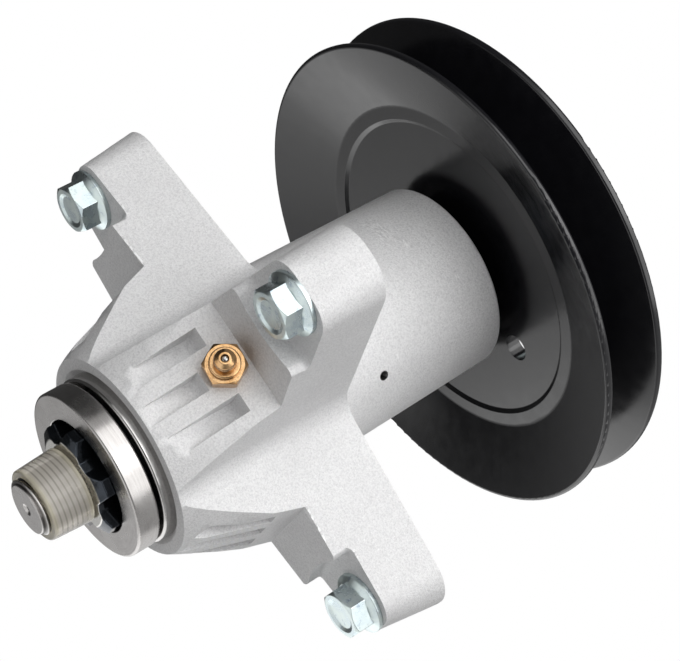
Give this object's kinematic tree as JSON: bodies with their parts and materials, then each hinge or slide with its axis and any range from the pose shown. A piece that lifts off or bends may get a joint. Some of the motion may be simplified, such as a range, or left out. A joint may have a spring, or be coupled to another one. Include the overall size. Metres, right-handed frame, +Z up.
{
  "type": "mower deck spindle assembly",
  "caption": "Mower deck spindle: cast housing with webbed feet, bearings, shaft with star blade adapter, belt pulley.",
  "frame": {"origin": "on the shaft's axis, in the plane of the housing's feet that bolts up against the deck", "axes": "+Z up along the shaft towards the pulley, -Y towards the foot beside the grease fitting"},
  "size_m": [0.1506, 0.1506, 0.1634],
  "materials": {
    "cast_aluminium": "shot-blasted casting, matte",
    "clear_zinc": "bluish clear zinc plating, glossy",
    "yellow_zinc": "yellow plated, glossy",
    "bearing_steel": "ground",
    "ground_steel": "turned and ground",
    "black_oxide": "oiled black oxide",
    "clear_plastic": "translucent, yellowish",
    "black_paint": "smooth powder coat, semi-gloss",
    "seal_rubber": "matte",
    "cage_nylon": "natural nylon"
  },
  "bodies": {
    "housing": {"spindle_housing": "cast_aluminium", "mounting_bolts": "clear_zinc", "grease_fitting_body": "yellow_zinc", "grease_fitting_spring": "bearing_steel", "lower_bearing_outer_race": "bearing_steel", "upper_bearing_outer_race": "bearing_steel", "lower_bearing_seals": "seal_rubber", "upper_bearing_seals": "seal_rubber"},
    "rotor": {"spindle_shaft": "ground_steel", "lower_bearing_inner_race": "bearing_steel", "upper_bearing_inner_race": "bearing_steel", "bearing_spacer_tube": "ground_steel", "blade_star_adapter": "black_oxide", "blade_spacer_ring": "ground_steel", "thread_protector": "clear_plastic", "pulley_lower_plate": "black_paint", "pulley_upper_plate": "black_paint", "pulley_hub_spacer": "black_oxide", "pulley_washer": "clear_zinc", "pulley_nut": "clear_zinc"},
    "lower_ball_set": {"lower_bearing_balls": "bearing_steel", "lower_bearing_cage": "cage_nylon"},
    "upper_ball_set": {"upper_bearing_balls": "bearing_steel", "upper_bearing_cage": "cage_nylon"},
    "check_ball": {"grease_fitting_ball": "bearing_steel"}
  },
  "joints": [
    {"name": "spindle_spin", "type": "hinge", "parent": "housing", "child": "rotor", "pos_m": [0, 0, 0], "axis": [0, 0, 1], "continuous": true},
    {"name": "lower_ball_orbit", "type": "hinge", "parent": "housing", "child": "lower_ball_set", "pos_m": [0, 0, -0.0476], "axis": [0, 0, 1], "continuous": true},
    {"name": "upper_ball_orbit", "type": "hinge", "parent": "housing", "child": "upper_ball_set", "pos_m": [0, 0, 0.0462], "axis": [0, 0, 1], "continuous": true},
    {"name": "check_ball_slide", "type": "slide", "parent": "housing", "child": "check_ball", "axis": [0, -0.9545, -0.2981], "range_m": [-0.0009, 0], "stiffness_N_per_m": 100, "springref_m": 0.0005, "deforming": ["grease_fitting_spring"]}
  ],
  "couplings": [
    {"joint": "lower_ball_orbit", "follows": "spindle_spin", "ratio": 0.3815},
    {"joint": "upper_ball_orbit", "follows": "spindle_spin", "ratio": 0.3815}
  ]
}
